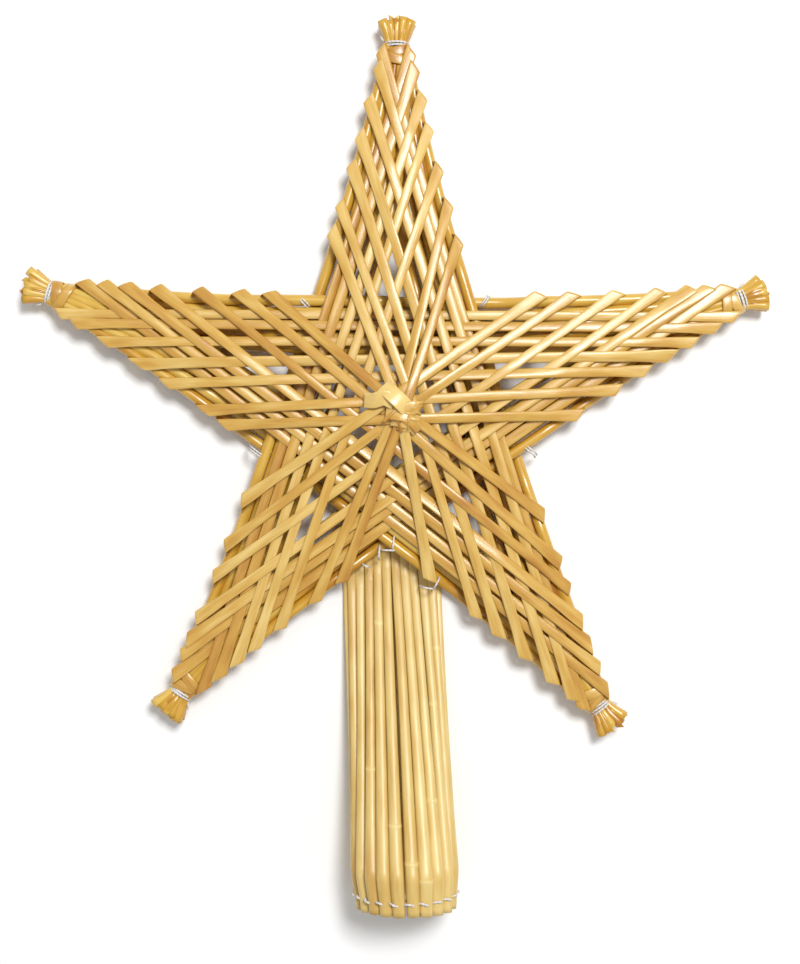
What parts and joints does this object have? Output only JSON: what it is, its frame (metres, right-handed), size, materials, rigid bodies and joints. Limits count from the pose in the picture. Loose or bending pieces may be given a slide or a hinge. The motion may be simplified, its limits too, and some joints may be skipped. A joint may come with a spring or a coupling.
{
  "type": "straw star tree topper",
  "caption": "Five-pointed star woven from straw over a bound straw frame, with a round tubular straw socket below it to slip over the top of a tree.",
  "frame": {"origin": "under the middle of the whole ornament as it lies face up, on the surface it lies on", "axes": "+Z is the star's face normal, +Y points along the top arm, away from the socket's mouth, +X to the right as seen from the face"},
  "size_m": [0.2504, 0.2926, 0.0355],
  "materials": {
    "frame_straw": "satin golden straw, round stems",
    "flat_straw": "glossy golden straw, pressed flat",
    "socket_straw": "satin pale straw, round stems",
    "thread": "white sewing thread"
  },
  "bodies": {
    "root": {"frame_band_1": "frame_straw", "frame_band_2": "frame_straw", "frame_band_3": "frame_straw", "frame_band_4": "frame_straw", "frame_band_5": "frame_straw", "tip_tie_1": "thread", "tip_tie_2": "thread", "tip_tie_3": "thread", "tip_tie_4": "thread", "tip_tie_5": "thread", "wrap_straw_1_1": "flat_straw", "wrap_straw_4_1": "flat_straw", "wrap_straw_2_1": "flat_straw", "wrap_straw_5_1": "flat_straw", "wrap_straw_3_1": "flat_straw", "wrap_straw_1_2": "flat_straw", "wrap_straw_4_2": "flat_straw", "wrap_straw_2_2": "flat_straw", "wrap_straw_5_2": "flat_straw", "wrap_straw_3_2": "flat_straw", "wrap_straw_1_3": "flat_straw", "wrap_straw_4_3": "flat_straw", "wrap_straw_2_3": "flat_straw", "wrap_straw_5_3": "flat_straw", "wrap_straw_3_3": "flat_straw", "wrap_straw_1_4": "flat_straw", "wrap_straw_4_4": "flat_straw", "wrap_straw_2_4": "flat_straw", "wrap_straw_5_4": "flat_straw", "wrap_straw_3_4": "flat_straw", "wrap_straw_1_5": "flat_straw", "wrap_straw_4_5": "flat_straw", "wrap_straw_2_5": "flat_straw", "wrap_straw_5_5": "flat_straw", "wrap_straw_3_5": "flat_straw", "wrap_straw_1_6": "flat_straw", "wrap_straw_4_6": "flat_straw", "wrap_straw_2_6": "flat_straw", "wrap_straw_5_6": "flat_straw", "wrap_straw_3_6": "flat_straw", "wrap_straw_1_7": "flat_straw", "wrap_straw_4_7": "flat_straw", "wrap_straw_2_7": "flat_straw", "wrap_straw_5_7": "flat_straw", "wrap_straw_3_7": "flat_straw", "hub_knot": "flat_straw", "socket_straws_1": "socket_straw", "socket_straws_2": "socket_straw", "socket_straws_3": "socket_straw", "socket_straws_4": "socket_straw", "socket_straws_5": "socket_straw", "socket_straws_6": "socket_straw", "socket_straws_7": "socket_straw", "rim_twine": "thread"}
  },
  "joints": []
}
